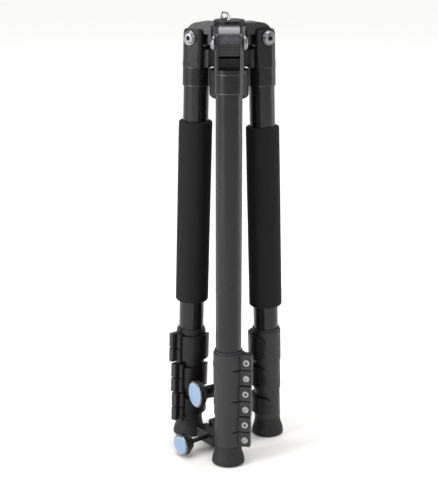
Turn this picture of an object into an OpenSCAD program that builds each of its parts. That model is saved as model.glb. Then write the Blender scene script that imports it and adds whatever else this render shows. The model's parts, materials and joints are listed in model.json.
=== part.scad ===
// Travel tripod, folded back on itself and standing on its three feet.
// Origin: on the column's axis, at the plane the feet stand on. +Z up, front leg towards -Y.
// Each leg has its own frame: pivot at the origin, +X away from the column, -Z down the leg.

/* [Stance] */
// Distance from the column's axis to each leg's pivot
pivot_ring_r = 35.2; // [34.6:0.1:37]
// Angle at which a folded leg leans out from the column
fold_splay = 1.77; // [1.6:0.01:2.2]
// Length of a folded leg, from its pivot to its sole
leg_len = 415.3; // [400:0.1:450]

/* [Leg tubes] */
// Outer diameter of the top tube
tube_d = 25; // [24.6:0.1:25.4]
// How much thinner each further tube is
tube_step = 3; // [2.8:0.1:3.2]
// Wall of every leg tube
tube_wall = 1; // [0.8:0.1:1.1]
// Length of the slide bush at the top of each inner tube
bush_len = 30; // [20:1:40]
// Distance from the pivot to the top end of the first inner tube
nest_top = 52; // [50:1:60]

/* [Leg clamps] */
// Height of one flip-lock clamp
clamp_h = 32; // [31:0.1:33]
// Gap between stacked clamps
stack_gap = 0.25; // [0.1:0.05:0.5]
// Wall of the clamp band over its tube
band_wall = 2.4; // [2.2:0.1:2.6]
// How much the band wall grows on each thinner tube
band_wall_growth = 0.75; // [0.5:0.05:0.8]
// Thickness of one clamp ear
ear_t = 5.2; // [4.8:0.1:5.4]
// Gap between the two sides of the band
split_gap = 1.6; // [1.2:0.1:1.8]
// How far the ear stands out from the band
ear_reach = 10; // [9:0.1:10.5]
// Height of the slit between the two halves of a clamp
slit_h = 1.2; // [1:0.1:1.4]
// Turn of the ears from the leg's outward side
ear_turn = 75; // [74:1:76]
// Thickness of a flip lever
lever_t = 3.5; // [3.2:0.1:3.6]

/* [Feet and grips] */
// Height of a rubber foot
foot_h = 19.3; // [18:0.1:21]
// Diameter of a foot at its sole
foot_d = 33; // [31:0.1:34]
// Diameter of a foot at its top
foot_top_d = 26.4; // [25:0.1:27]
// Outer diameter of a foam grip
grip_d = 33.4; // [31:0.1:33.6]
// Share of the room between a leg's casting and its first clamp that its grip covers
grip_share = 0.743; // [0.6:0.001:0.8]

/* [Leg casting] */
// Distance from the pivot to the casting's flat side towards the column
casting_in = 13; // [12.6:0.1:13.2]
// Thickness of each ear of the casting
cheek_t = 3.55; // [3.45:0.05:3.8]
// Height of the ears over the pivot
cheek_rise = 9; // [8:0.1:9.4]
// Distance from the pivot to the upper line of the casting's collar
collar_top = 28.2; // [28:0.1:30]
// Distance from the pivot to the lower end of the casting's collar
collar_end = 46.6; // [44:0.1:48]

/* [Hub and column] */
// Width of an arm of the hub between the casting's ears
arm_w = 19.4; // [19:0.1:19.6]
// Height of the arm's flat top over the pivot
arm_rise = 14.8; // [14:0.1:15]
// Radius of the hub's round body
hub_r = 17.4; // [17:0.1:19]
// Outer diameter of the centre column
column_d = 26; // [25.6:0.1:26.2]
// Wall of the centre column
column_wall = 1.5; // [1.2:0.1:2]
// Outer diameter of the column's twist lock
lock_d = 38; // [36:0.1:38.4]
// Height of the column's twist lock
lock_h = 27.6; // [26:0.1:28]
// Diameter of the column's end cap
cap_d = 29.8; // [29:0.1:31]

/* [Ball head] */
// Diameter of the ball
ball_d = 24; // [23:0.1:24.4]
// Outer diameter of the ball's housing
housing_d = 30.4; // [30:0.1:30.6]
// Diameter of the main locking knob
knob_d = 27; // [26:0.1:27.4]
// Direction of the main locking knob
knob_turn = 210; // [209:1:211]
// Direction in which the clamp's knob points
clamp_turn = 219; // [218:1:220]
// Diameter of the clamp's knob
clamp_knob_d = 22; // [20:0.1:22.4]
// Length of the camera plate across the jaws' travel
plate_len = 32; // [30:0.1:32.6]
// Width of the camera plate along the jaws' travel
plate_w = 30; // [29:0.1:30.4]
// Diameter of the camera screw's thread, a quarter inch
thread_d = 6.35; // [6.3:0.01:6.4]

/* [Hidden] */
$fn = 64;

run_gap = 0.06;      // radial clearance of a sliding or turning fit
seat_gap = 0.05;     // clearance of a screw or grip on what carries it
face_gap = 0.25;     // clearance between faces that pass each other
over = 1;            // how far a cut runs past what it cuts
reach_far = 80;      // larger than any cross-section, for half-space cuts

black = "#26272a";
metal = "#b9bbbf";
rubber = "#1d1d1f";
foam = "#151516";
cap_blue = "#a9c4e8";

FRONT = 0;
RIGHT = 1;
LEFT = 2;
leg_turns = [270, 30, 150];
pivot_z = leg_len * cos(fold_splay);

// where each leg's clamps are turned to, past ear_turn, from the first clamp to the third
clamp_turns = [[0, 0, 0], [0, 2, 8], [0, 8, 10]];
// share of the room between casting and first clamp that is left bare above each leg's grip
grip_top_shares = [0, 0.16, 0.138];

function tube_r(n) = tube_d / 2 - n * tube_step / 2;
function bore_r(n) = tube_r(n) - tube_wall;
function band_r(n) = tube_r(n) + band_wall + n * band_wall_growth;

foot_top = leg_len - foot_h;
function clamp_top(n) = foot_top - (3 - n) * (clamp_h + stack_gap);
function clamp_mid(n) = clamp_top(n) + clamp_h / 2;
nest_step = 4;       // each tube's top end lies this much below the one it slides in
function tube_top(n) = n == 0 ? collar_top + socket_lip : nest_top + (n - 1) * nest_step;
foot_floor = 5;      // rubber under the last tube's end
function tube_end(n) = n == 3 ? leg_len - foot_floor : clamp_mid(n) - slit_h / 2;

module on_leg(leg) {
    rotate([0, 0, leg_turns[leg]]) translate([pivot_ring_r, 0, pivot_z])
        rotate([0, -fold_splay, 0]) children();
}

module down(distance) translate([0, 0, -distance]) children();

// a cylinder whose axis is the leg frame's Y, centred on the pivot
module across(r, h) rotate([90, 0, 0]) cylinder(r = r, h = h, center = true);

module ring(r_out, r_in, h) difference() {
    cylinder(r = r_out, h = h);
    down(over) cylinder(r = r_in, h = h + 2 * over);
}

// a rectangle with round corners that stay true arcs
module round_rect(x, y, r) {
    square([x - 2 * r, y], center = true);
    square([x, y - 2 * r], center = true);
    for (sx = [-1, 1], sy = [-1, 1]) translate([sx * (x / 2 - r), sy * (y / 2 - r)]) circle(r = r);
}

// ---- leg casting
slot_half = arm_w / 2 + face_gap;            // half the gap between the ears
casting_half = slot_half + cheek_t;          // half the casting's width
socket_lip = 5.8;                            // solid floor over the tube's socket
bolt_r = 3;                                  // pivot bolt's shank
web_clear = 0.7;                             // gap between the arm's end and the web
web_top = 9.4;                               // the web between the ears starts this far down
recess_floor = 1;                            // the open side of the fork is cut down to here
recess_end = 24.2;                           // lower end of the open side
corner_r = 5.5;                              // vertical corners of the casting
collar_wall = 1.1;                           // collar over the tube
bead = 0.3;                                  // the casting stands out over its collar
casting_r = tube_r(0) + collar_wall + bead;  // its round outer side
ear_out = sqrt(casting_r * casting_r - slot_half * slot_half);
ear_corner = 6.5;                            // rounding of the ears' tops
boss_r = 7.4;                                // flat seat of a pivot bolt's head
groove = 0.5;                                // width and depth of the collar's lines

module casting_lines() {
    for (t = [collar_top, collar_end - 2 * groove])
        down(t + groove) ring(tube_r(0) + collar_wall + over, tube_r(0) + collar_wall - groove, groove);
}

// cross-section: round outwards, flat at the bolts and towards the column
module casting_outline() intersection() {
    union() {
        circle(r = casting_r);
        translate([(corner_r - casting_in) / 2, 0])
            round_rect(casting_in + corner_r, 2 * casting_half, corner_r);
    }
    square([4 * casting_r, 2 * casting_half], center = true);
}

module casting_block() {
    down(collar_top) linear_extrude(collar_top) casting_outline();
    // the ears' tops are round, seen along the bolt
    intersection() {
        down(over) linear_extrude(cheek_rise + over) casting_outline();
        translate([(ear_out - casting_in) / 2, 0, 0]) rotate([90, 0, 0])
            linear_extrude(2 * casting_half, center = true)
            round_rect(ear_out + casting_in, 2 * cheek_rise, ear_corner);
    }
    across(boss_r, 2 * casting_half);
    down(collar_end) cylinder(r = tube_r(0) + collar_wall, h = collar_end - collar_top + over);
}

module leg_casting(leg) color(black) on_leg(leg) {
    difference() {
        casting_block();
        across(bolt_r + run_gap, 2 * casting_half + 2 * over);
        // gap for the arm's heel and, with the leg swung round, for its dome
        across(heel_r + web_clear, 2 * slot_half);
        translate([arm_shoulder, 0, 0]) across(arm_rise + web_clear, 2 * slot_half);
        // the open outer side, then the room above the web
        translate([recess_floor, -slot_half, -recess_end])
            cube([casting_r, 2 * slot_half, recess_end + casting_r]);
        translate([-casting_in - over, -slot_half, -web_top])
            cube([2 * casting_in + 2 * over, 2 * slot_half, casting_r + web_top]);
        down(collar_end + over)
            cylinder(r = tube_r(0), h = collar_end + over - collar_top - socket_lip);
        casting_lines();
        // slot in which the angle tab slides
        translate([-casting_in - 2 * over, -tab_half - face_gap / 2, -tab_low - face_gap / 2])
            cube([tab_seat + 2 * over, 2 * tab_half + face_gap, tab_low - tab_top + face_gap]);
    }
}

// ---- angle stop tab, pulled towards the column
tab_half = 8.6;      // half its width
tab_top = 10.4;      // distance from the pivot to its upper edge
tab_low = 27.4;      // and to its lower edge
tab_seat = 5;        // depth of its slot in the casting
tab_out = 4.4;       // how far it stands out of the casting
tab_waist = 1.6;     // depth of the finger hollow on its sides

module angle_tab(leg) color(black) on_leg(leg) difference() {
    translate([-casting_in - tab_out, -tab_half, -tab_low])
        cube([tab_out + tab_seat - face_gap / 2, 2 * tab_half, tab_low - tab_top]);
    for (side = [-1, 1])
        translate([-casting_in - tab_out / 2, side * (tab_half + tab_out - tab_waist), -tab_low - over])
            cylinder(r = tab_out, h = tab_low - tab_top + 2 * over);
}

// ---- leg tubes
module leg_tube(leg, n) color(black) on_leg(leg) difference() {
    union() {
        down(tube_end(n)) cylinder(r = tube_r(n), h = tube_end(n) - tube_top(n));
        if (n > 0) down(tube_top(n) + bush_len) cylinder(r = bore_r(n - 1) - run_gap, h = bush_len);
    }
    down(tube_end(n) + over) cylinder(r = bore_r(n), h = tube_end(n) - tube_top(n) + 2 * over);
}

module leg_grip(leg) color(foam) on_leg(leg)
    down(collar_end + grip_top_shares[leg] * grip_room + grip_len)
        rotate_extrude() polygon(concat(
            [[tube_r(0) + seat_gap, 0], [tube_r(0) + seat_gap, grip_len]],
            [for (a = [90 : -15 : 0]) [grip_d / 2 - grip_edge * (1 - cos(a)),
                grip_len - grip_edge * (1 - sin(a))]],
            [for (a = [0 : -15 : -90]) [grip_d / 2 - grip_edge * (1 - cos(a)),
                grip_edge * (1 + sin(a))]]));
grip_edge = 2.6;     // rounding of the grip's ends

// ---- flip-lock clamps
screw_r = 1.5;       // shank of a clamp screw
screw_head_r = 3.1;
screw_head_h = 1.6;
socket_share = 0.5;  // hexagon socket's radius as a share of the head's
ear_edge = 0.8;      // the ear is this much shorter than the band at its top and bottom
barrel_r = 3;        // the lever's eye
pin_r = 1.4;         // the lever's pin
lug_h = 1;           // rib that carries the pin, between the two halves of the lever's eye
slit_back = 59;      // the slit runs this far round from the split
rim_h = 2.4;         // seal ring on top of the first clamp
rim_wall = 1.3;
// bare tube between a leg's casting and its first clamp, and the grip on it
grip_room = clamp_top(0) - rim_h - collar_end;
grip_len = grip_share * grip_room;
// height of the first lever, how much lower each next one is, and where their round tips end,
// from the leg's outward side
lever_h = 26;
lever_h_step = 4;
function lever_high(n) = lever_h - n * lever_h_step;
lever_tips = [236, 238, 246];

function clamp_turned(leg, n) = ear_turn + clamp_turns[leg][n];
function ear_tip(n) = band_r(n) + ear_reach;
function pin_x(n) = band_r(n) + split_gap / 2 + barrel_r + face_gap;
pin_y = barrel_r + face_gap / 4;

// the sector of a disc between two angles, wide enough for any clamp
module sector(a0, a1) polygon(concat([[0, 0]],
    [for (s = [0 : 4]) reach_far * [cos(a0 + s * (a1 - a0) / 4), sin(a0 + s * (a1 - a0) / 4)]]));

module clamp_screw(n, z) translate([ear_tip(n) - ear_tip(n) / 5, -split_gap / 2 - ear_t, z])
    rotate([-90, 0, 0]) difference() {
        union() {
            down(screw_head_h / 3) cylinder(r = screw_r, h = ear_t + screw_head_h / 3);
            down(screw_head_h - seat_gap) cylinder(r = screw_head_r, h = screw_head_h - 2 * seat_gap);
        }
        down(screw_head_h + over)
            cylinder(r = socket_share * screw_head_r, h = screw_head_h / 2 + over, $fn = 6);
    }

module clamp_screw_hole(n, z) translate([ear_tip(n) - ear_tip(n) / 5, 0, z])
    rotate([90, 0, 0]) cylinder(r = screw_r + seat_gap, h = ear_t + split_gap);

module clamp_shape(n) {
    cylinder(r = band_r(n), h = clamp_h, center = true);
    translate([0, -split_gap / 2 - ear_t, -clamp_h / 2 + ear_edge])
        cube([ear_tip(n), ear_t, clamp_h - 2 * ear_edge]);
}

module leg_clamp(leg, n) color(black) on_leg(leg) down(clamp_mid(n))
    rotate([0, 0, clamp_turned(leg, n)]) {
        difference() {
            union() {
                clamp_shape(n);
                if (n == 0) cylinder(r = tube_r(n) + rim_wall, h = clamp_h / 2 + rim_h);
            }
            // upper half on its own tube, lower half around the tube that slides
            cylinder(r = tube_r(n), h = clamp_h);
            down(clamp_h) cylinder(r = tube_r(n + 1) + run_gap, h = clamp_h + over);
            translate([0, -split_gap / 2, -clamp_h]) cube([reach_far, split_gap, 2 * clamp_h]);
            down(slit_h / 2) linear_extrude(slit_h) sector(-slit_back, 0);
            for (z = [-clamp_h / 4, clamp_h / 4]) clamp_screw_hole(n, z);
        }
        // the lever's pin on its rib
        translate([band_r(n) - band_wall / 2, split_gap / 2, -lug_h / 2])
            cube([pin_x(n) - band_r(n) + band_wall / 2, 2 * pin_y - split_gap, lug_h]);
        translate([pin_x(n), pin_y, 0]) cylinder(r = pin_r, h = clamp_h - 2 * ear_edge, center = true);
        color(metal) for (z = [-clamp_h / 4, clamp_h / 4]) clamp_screw(n, z);
    }

// ---- flip levers
function lever_in(n) = band_r(n) + face_gap;
function lever_out(n) = lever_in(n) + lever_t;
function lever_end(n) = lever_tips[n] - ear_turn;
dome_share = 0.53;   // radius of a lever's round tip as a share of its height
function dome_r(n) = dome_share * lever_high(n);
function dome_turn(n) = lever_end(n) - asin(dome_r(n) / lever_out(n));

module lever_band(n) linear_extrude(lever_high(n), center = true) intersection() {
    difference() {
        circle(r = lever_out(n));
        circle(r = lever_in(n));
    }
    sector(asin(pin_y / lever_out(n)), lever_end(n));
}

module leg_lever(leg, n) color(black) on_leg(leg) down(clamp_mid(n))
    rotate([0, 0, clamp_turned(leg, n)]) difference() {
        union() {
            intersection() {
                lever_band(n);
                union() {
                    rotate([0, 0, dome_turn(n)]) rotate([0, 90, 0])
                        cylinder(r = dome_r(n), h = reach_far);
                    rotate([0, 0, dome_turn(n)])
                        translate([-reach_far / 2, -reach_far, -lever_high(n)])
                        cube([reach_far, reach_far, 2 * lever_high(n)]);
                }
            }
            translate([pin_x(n), pin_y, 0])
                cylinder(r = barrel_r, h = clamp_h - 2 * ear_edge, center = true);
        }
        translate([pin_x(n), pin_y, 0]) cylinder(r = pin_r + run_gap, h = 2 * clamp_h, center = true);
        // room for the pin's rib, at rest and as the lever opens
        down(lug_h / 2 + face_gap) {
            translate([pin_x(n), pin_y, 0]) cylinder(r = barrel_r + face_gap, h = lug_h + 2 * face_gap);
            translate([0, 0, 0]) cube([pin_x(n), 2 * pin_y, lug_h + 2 * face_gap]);
        }
    }

// ---- feet
foot_edge = 2.5;     // rounding of the sole's edge
foot_waist_share = 0.62;   // share of the height at which the foot starts to flare
tilt_drop = foot_d / 2 * tan(fold_splay);

module foot(leg) color(rubber) difference() {
    on_leg(leg) down(leg_len + tilt_drop) rotate_extrude() polygon(concat(
        [[0, foot_h + tilt_drop], [0, 0]],
        [for (a = [-90 : 15 : 0]) [foot_d / 2 - foot_edge * (1 - cos(a)), foot_edge * (1 + sin(a))]],
        [[foot_top_d / 2 + (foot_d - foot_top_d) / 6, foot_h * foot_waist_share],
         [foot_top_d / 2, foot_h + tilt_drop]]));
    on_leg(leg) down(leg_len - foot_floor) cylinder(r = tube_r(3), h = foot_h);
    down(2 * foot_edge) cylinder(r = 2 * reach_far, h = 2 * foot_edge);
}

// ---- hub
column_r = column_d / 2;
lock_drop = 28.5;    // the twist lock's upper edge lies this far under the pivots
lock_low = pivot_z - lock_drop - lock_h;
lock_lip = 7;        // its closed lower end
rib_depth = 0.5;     // grooves of the twist lock and the knobs
cap_disc_gap = 1.6;  // the column ends this far under the hub's top
hub_dip = 1.9;       // the hub's top lies this far under the arms' tops
hub_deep = 9;        // and its lower end this far under the pivots
hub_top = pivot_z + arm_rise - hub_dip;
hub_low = pivot_z - hub_deep;
neck_wall = 1.9;
neck_r = column_r + neck_wall;               // threaded neck under the hub
neck_end = lock_low + lock_lip;
arm_deep = 10.8;                             // height of the arm's wide part
rib_half = 5.5;                              // half the width of the rib under it
rib_low = 6.5;                               // its lower edge, under the pivot
arm_shoulder = 7;                            // the dome's axis lies this far in from the pivot
heel_r = 12.6;                               // heel under the dome, around the pivot
heel_in = 8;                                 // from this far in
heel_out = 5;                                // to this far out
ridge_h = 0.9;                               // ridges across the heel
ridge_out = 0.6;
ridge_first = 0.3;
ridge_pitch = 3;
ridge_count = 4;

// an arm with its pivot at the origin: a slab, a dome at its end and a heel under the dome
module arm_shape() {
    translate([-pivot_ring_r, -arm_w / 2, arm_rise - arm_deep])
        cube([pivot_ring_r - arm_shoulder, arm_w, arm_deep]);
    intersection() {
        translate([-arm_shoulder, 0, 0]) across(arm_rise, arm_w);
        translate([-arm_shoulder - over, -arm_w / 2, 0])
            cube([arm_rise + 2 * over, arm_w, arm_rise + over]);
    }
    intersection() {
        across(heel_r, arm_w);
        translate([-heel_in, -arm_w / 2, -heel_r - over])
            cube([heel_in + heel_out, arm_w, heel_r + over + bolt_r]);
    }
    for (n = [0 : ridge_count - 1])
        translate([0, -arm_w / 2, -ridge_first - ridge_h - n * ridge_pitch])
            cube([heel_out + ridge_out, arm_w, ridge_h]);
    // rib under the arm
    translate([-pivot_ring_r + column_r + over, -rib_half, -rib_low])
        cube([pivot_ring_r - column_r - heel_in / 2 - over, 2 * rib_half, 2 * rib_low]);
}

module hub_arm(leg) rotate([0, 0, leg_turns[leg]]) translate([pivot_ring_r, 0, pivot_z])
    difference() {
        arm_shape();
        across(bolt_r, arm_w + 2 * over);
    }

module hub() color(black) difference() {
    union() {
        down(-hub_low) cylinder(r = hub_r, h = hub_top - hub_low);
        down(-neck_end) cylinder(r = neck_r, h = hub_low - neck_end + over);
        for (leg = [FRONT, RIGHT, LEFT]) hub_arm(leg);
    }
    cylinder(r = column_r + run_gap, h = 2 * leg_len);
    down(-hub_top) cylinder(r = cap_d / 2 + face_gap, h = arm_rise);
}

head_r = 7;          // pivot bolt's head
head_h = 3.7;
bolt_socket = 2.5;
// the head's dome, from its rim to its flat end, as shares of its radius and height
bolt_shares = [[1, 0.2], [0.94, 0.48], [0.81, 0.74], [0.62, 0.93], [0.5, 1]];

module pivot_bolts() color(metal) for (leg = [FRONT, RIGHT, LEFT])
    rotate([0, 0, leg_turns[leg]]) translate([pivot_ring_r, 0, pivot_z]) difference() {
        union() {
            across(bolt_r, 2 * casting_half + 2 * seat_gap);
            for (side = [-1, 1]) rotate([-90 * side, 0, 0]) down(-casting_half - face_gap / 2)
                rotate_extrude() polygon(concat([[0, 0], [head_r, 0]],
                    [for (s = bolt_shares) [s[0] * head_r, s[1] * head_h]], [[0, head_h]]));
        }
        for (side = [-1, 1]) rotate([-90 * side, 0, 0]) down(-casting_half - head_h / 3)
            cylinder(r = bolt_socket, h = head_h + over, $fn = 6);
    }

// ---- column
lock_edge = 4.5;     // rounded lower corner of the twist lock
lock_ribs = 36;
column_top = hub_top - cap_disc_gap;
column_low = 92;
cap_h = 5;
cap_plug = 14;

module column_lock() color(black) difference() {
    down(-lock_low) difference() {
        rotate_extrude() polygon(concat([[0, lock_h], [0, 0]],
            [for (a = [-90 : 15 : 0]) [lock_d / 2 - lock_edge * (1 - cos(a)), lock_edge * (1 + sin(a))]],
            [[lock_d / 2, lock_h - 1.5 * rib_depth], [lock_d / 2 - 1.5 * rib_depth, lock_h]]));
        down(over) cylinder(r = column_r + run_gap, h = lock_h + 2 * over);
        down(-lock_lip) cylinder(r = neck_r + run_gap, h = lock_h);
        for (n = [0 : lock_ribs - 1]) rotate([0, 0, n * 360 / lock_ribs])
            translate([lock_d / 2 + rib_depth, 0, lock_edge])
            cylinder(r = 2 * rib_depth, h = lock_h, $fn = 16);
    }
}

module column_tube() color(black) down(-column_low)
    ring(column_r, column_r - column_wall, column_top - column_low);

module end_cap_body() down(-hub_top - face_gap / 2) {
    difference() {
        cylinder(r = cap_d / 2, h = cap_h);
        down(groove - cap_h / 2) ring(cap_d / 2 + over, cap_d / 2 - 2 * groove, 2 * groove);
        down(-cap_h + groove) cylinder(r = cap_d / 2 - 3 * groove, h = cap_h);
    }
    down(cap_plug) cylinder(r = column_r - column_wall, h = cap_plug);
}

module column_end_cap() color(black) difference() {
    end_cap_body();
    down(-hub_top + cap_plug + over) cylinder(r = hook_wire + run_gap, h = cap_plug + 2 * cap_h);
}

hook_wire = 1.1;     // radius of the hook's wire
hook_eye = 3.1;      // radius of its eye, to the wire's middle
hook_base = 2.6;
hook_side = 1.5;     // the eye's wire is let into the pin by less than its own radius

module weight_hook() color(metal) down(-hub_top - cap_h + groove - face_gap) {
    cylinder(r = hook_base, h = hook_wire);
    // pin through the end cap, riveted over under it
    down(cap_plug + cap_h) cylinder(r = hook_wire, h = cap_plug + cap_h);
    down(cap_plug + cap_h + groove) cylinder(r = hook_base, h = groove);
    cylinder(r = hook_wire, h = hook_wire + hook_eye);
    // the eye stands beside the pin
    translate([-hook_eye - hook_side, 0, hook_wire + hook_eye]) rotate([90, 0, 0])
        rotate_extrude() translate([hook_eye, 0]) circle(r = hook_wire, $fn = 24);
}

// ---- ball head, hanging between the legs
base_r = 13.4;                               // fixed base, under the column's end
housing_r = housing_d / 2;
housing_low = 42.4;
housing_top = 86;
ball_r = ball_d / 2;
ball_z = 48.6;
spigot_r = 9;
spigot_h = 7;
seat_r = 11;                                 // friction seat behind the ball
seat_rise = 3.5;     // the seat starts this far over the ball's middle
seat_low = ball_z + seat_rise;
seat_top = 66;
knob_z = 60;                                 // main knob's axis
knob_face = 39.6;                            // its outer face, from the column's axis
knob_len = 11;
cap_t = 0.8;
knob_shaft_r = 3;
boss_share = 2.2;                            // radius of the shaft's boss, as a share of the shaft's

module head_base() color(black) {
    down(-housing_top - face_gap) cylinder(r = base_r, h = column_low - housing_top - face_gap);
    down(-housing_top - face_gap + spigot_h) cylinder(r = spigot_r, h = spigot_h);
    down(-column_low) cylinder(r = column_r - column_wall, h = cap_plug);
}

module ball_housing() color(black) difference() {
    union() {
        down(-housing_low) cylinder(r = housing_r, h = housing_top - housing_low);
        rotate([0, 0, knob_turn]) translate([0, 0, knob_z]) rotate([0, 90, 0])
            cylinder(r = boss_share * knob_shaft_r, h = knob_face - knob_len - face_gap);
        rotate([0, 0, pan_turn]) translate([0, 0, pan_z]) rotate([0, 90, 0])
            cylinder(r = pan_r - pan_shaft_r / 2, h = pan_face - pan_len - face_gap);
    }
    translate([0, 0, ball_z]) sphere(r = ball_r + run_gap);
    down(-seat_low) cylinder(r = seat_r + run_gap, h = seat_top - seat_low + face_gap);
    down(-housing_top + spigot_h + face_gap) cylinder(r = spigot_r + run_gap, h = spigot_h + over);
    rotate([0, 0, knob_turn]) translate([0, 0, knob_z]) rotate([0, 90, 0])
        cylinder(r = knob_shaft_r + run_gap, h = knob_face);
    rotate([0, 0, pan_turn]) translate([spigot_r / 2, 0, pan_z]) rotate([0, 90, 0])
        cylinder(r = pan_shaft_r + run_gap, h = pan_face);
}

module ball_seat() color(metal) difference() {
    down(-seat_low - face_gap / 2) cylinder(r = seat_r, h = seat_top - seat_low - face_gap / 2);
    translate([0, 0, ball_z]) sphere(r = ball_r + run_gap);
}

stem_r = 5.2;
flange_share = 1.6;                          // the stem's flange, as a share of the stem
clamp_top_z = 22.5;                          // the clamp's side next to the ball
clamp_floor = 9.7;                           // face on which the plate lies
plate_face = 4.6;                            // the face that a camera stands on
lip_z = 6.4;                                 // lower edge of the jaws
plate_edge = 2.4;                            // how deep the jaws' lips reach into the plate's sides
fixed_jaw = 4.2;                             // thickness of the jaw that is part of the clamp
moving_jaw = 14.6;
screw_z = 13.2;
clamp_knob_face = 62.6;
clamp_knob_len = 12.5;
clamp_shaft_r = 2.3;
rod_r = 1.5;
rod_y = 11;
clamp_edge = 3;

module on_clamp() rotate([0, 0, clamp_turn]) children();

module ball_stem() color(metal) {
    translate([0, 0, ball_z]) sphere(r = ball_r);
    down(-clamp_top_z) cylinder(r = stem_r, h = ball_z - clamp_top_z);
    down(-clamp_top_z) cylinder(r = flange_share * stem_r, h = stem_r / 2);
}

module clamp_body() color(black) on_clamp() difference() {
    union() {
        translate([-fixed_jaw / 2, 0, clamp_floor]) linear_extrude(clamp_top_z - clamp_floor)
            round_rect(plate_w + fixed_jaw, plate_len, clamp_edge);
        jaw_lip(-1, fixed_jaw);
        for (side = [-1, 1]) translate([0, side * rod_y, screw_z + clamp_edge]) rotate([0, 90, 0])
            cylinder(r = rod_r, h = plate_w / 2 + moving_jaw);
    }
    translate([0, 0, screw_z]) rotate([0, 90, 0]) cylinder(r = clamp_shaft_r + run_gap, h = plate_w);
}

// a jaw's block and its lip, on the side of the plate that side names
module jaw_lip(side, thickness) rotate([0, 0, side > 0 ? 0 : 180])
    rotate([90, 0, 0]) linear_extrude(plate_len - 2 * clamp_edge, center = true)
        polygon([[plate_w / 2 + face_gap, clamp_floor + over], [plate_w / 2 + face_gap, clamp_floor],
            [plate_w / 2 + face_gap - plate_edge, lip_z + plate_edge / 2],
            [plate_w / 2 + face_gap - plate_edge, lip_z], [plate_w / 2 + thickness, lip_z],
            [plate_w / 2 + thickness, clamp_floor + over]]);

module clamp_jaw() color(black) on_clamp() difference() {
    union() {
        translate([plate_w / 2 + 2 * face_gap + moving_jaw / 2, 0, clamp_floor])
            linear_extrude(clamp_top_z - clamp_floor - clamp_edge)
            round_rect(moving_jaw, plate_len, clamp_edge);
        jaw_lip(1, moving_jaw);
    }
    for (side = [-1, 1]) translate([0, side * rod_y, screw_z + clamp_edge]) rotate([0, 90, 0])
        cylinder(r = rod_r + run_gap, h = plate_w + moving_jaw);
    translate([0, 0, screw_z]) rotate([0, 90, 0])
        cylinder(r = clamp_shaft_r + run_gap, h = plate_w + moving_jaw);
}

// radius of a knob at its root and at its shoulder, and the shoulder's place, as shares
root_share = 0.62;
shoulder_shares = [0.94, 0.42];

// a ribbed knob along +X with its outer face at face and its shaft running in to tip
module knob(r, length, face, tip, shaft, ribs, cap_r) difference() {
    union() {
        translate([face - length, 0, 0]) rotate([0, 90, 0]) rotate_extrude()
            polygon([[0, 0], [root_share * r, 0], [shoulder_shares[0] * r, shoulder_shares[1] * length],
                [r, length / 2], [r, length - rib_depth], [r - rib_depth, length], [0, length]]);
        translate([tip, 0, 0]) rotate([0, 90, 0]) cylinder(r = shaft, h = face - length - tip + over);
    }
    for (n = [0 : ribs - 1]) rotate([n * 360 / ribs, 0, 0])
        translate([face - length / 2, 0, r + rib_depth]) rotate([0, 90, 0])
        cylinder(r = 2 * rib_depth, h = length / 2 - 2 * rib_depth, $fn = 16);
    translate([face - cap_t / 2, 0, 0]) rotate([0, 90, 0]) cylinder(r = cap_r, h = length);
}

module knob_disc(cap_r, face) translate([face - cap_t / 2, 0, 0]) rotate([0, 90, 0])
    cylinder(r = cap_r - seat_gap, h = cap_t);

main_cap_share = 0.88;      // radius of the main knob's blue disc, as a share of the knob's
clamp_cap_share = 0.82;     // and of the clamp knob's disc

module main_knob() color(black) rotate([0, 0, knob_turn]) translate([0, 0, knob_z])
    knob(knob_d / 2, knob_len, knob_face, seat_r + face_gap, knob_shaft_r, 20,
        main_cap_share * knob_d / 2);
module main_knob_cap() color(cap_blue) rotate([0, 0, knob_turn]) translate([0, 0, knob_z])
    knob_disc(main_cap_share * knob_d / 2, knob_face);

module clamp_knob() color(black) on_clamp() translate([0, 0, screw_z])
    knob(clamp_knob_d / 2, clamp_knob_len, clamp_knob_face, plate_w / 4, clamp_shaft_r, 18,
        clamp_cap_share * clamp_knob_d / 2);
module clamp_knob_cap() color(cap_blue) on_clamp() translate([0, 0, screw_z])
    knob_disc(clamp_cap_share * clamp_knob_d / 2, clamp_knob_face);

// ---- small knob that locks the panning base, at the back
pan_turn = 90;
pan_z = 82.8;
pan_r = 3.6;
pan_len = 7;
pan_face = 26;
pan_shaft_r = 1.5;
pan_ribs = 8;

module pan_knob() color(black) rotate([0, 0, pan_turn]) translate([0, 0, pan_z])
    rotate([0, 90, 0]) difference() {
        union() {
            down(-pan_face + pan_len) cylinder(r = pan_r, h = pan_len);
            down(-spigot_r - face_gap) cylinder(r = pan_shaft_r, h = pan_face - pan_len - spigot_r);
        }
        for (n = [0 : pan_ribs - 1]) rotate([0, 0, n * 360 / pan_ribs])
            translate([pan_r + rib_depth / 2, 0, pan_face - pan_len + over])
            cylinder(r = 1.5 * rib_depth, h = pan_len, $fn = 16);
    }

// ---- camera plate and its screw
screw_head = 7;
screw_tip = 0.3;                             // the thread's end, over the surface it stands on
head_deep = 2.6;
neck_share = 0.82;

module camera_plate() color(black) on_clamp() difference() {
    rotate([90, 0, 0]) linear_extrude(plate_len, center = true)
        polygon([for (s = [-1, 1], q = [0 : 4]) let (p = plate_side[s > 0 ? q : 4 - q])
            [s * p[0], p[1]]]);
    cylinder(r = thread_d / 2 + 2 * run_gap, h = 2 * clamp_floor);
    down(-clamp_floor + head_deep) cylinder(r = screw_head + 2 * run_gap, h = head_deep + over);
}
// outline of the plate's side from its camera face to the clamp's floor
plate_side = [[plate_w / 2, plate_face], [plate_w / 2, lip_z - face_gap],
    [plate_w / 2 - plate_edge, lip_z - face_gap],
    [plate_w / 2 - plate_edge, lip_z + plate_edge / 2], [plate_w / 2, clamp_floor]];

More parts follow.
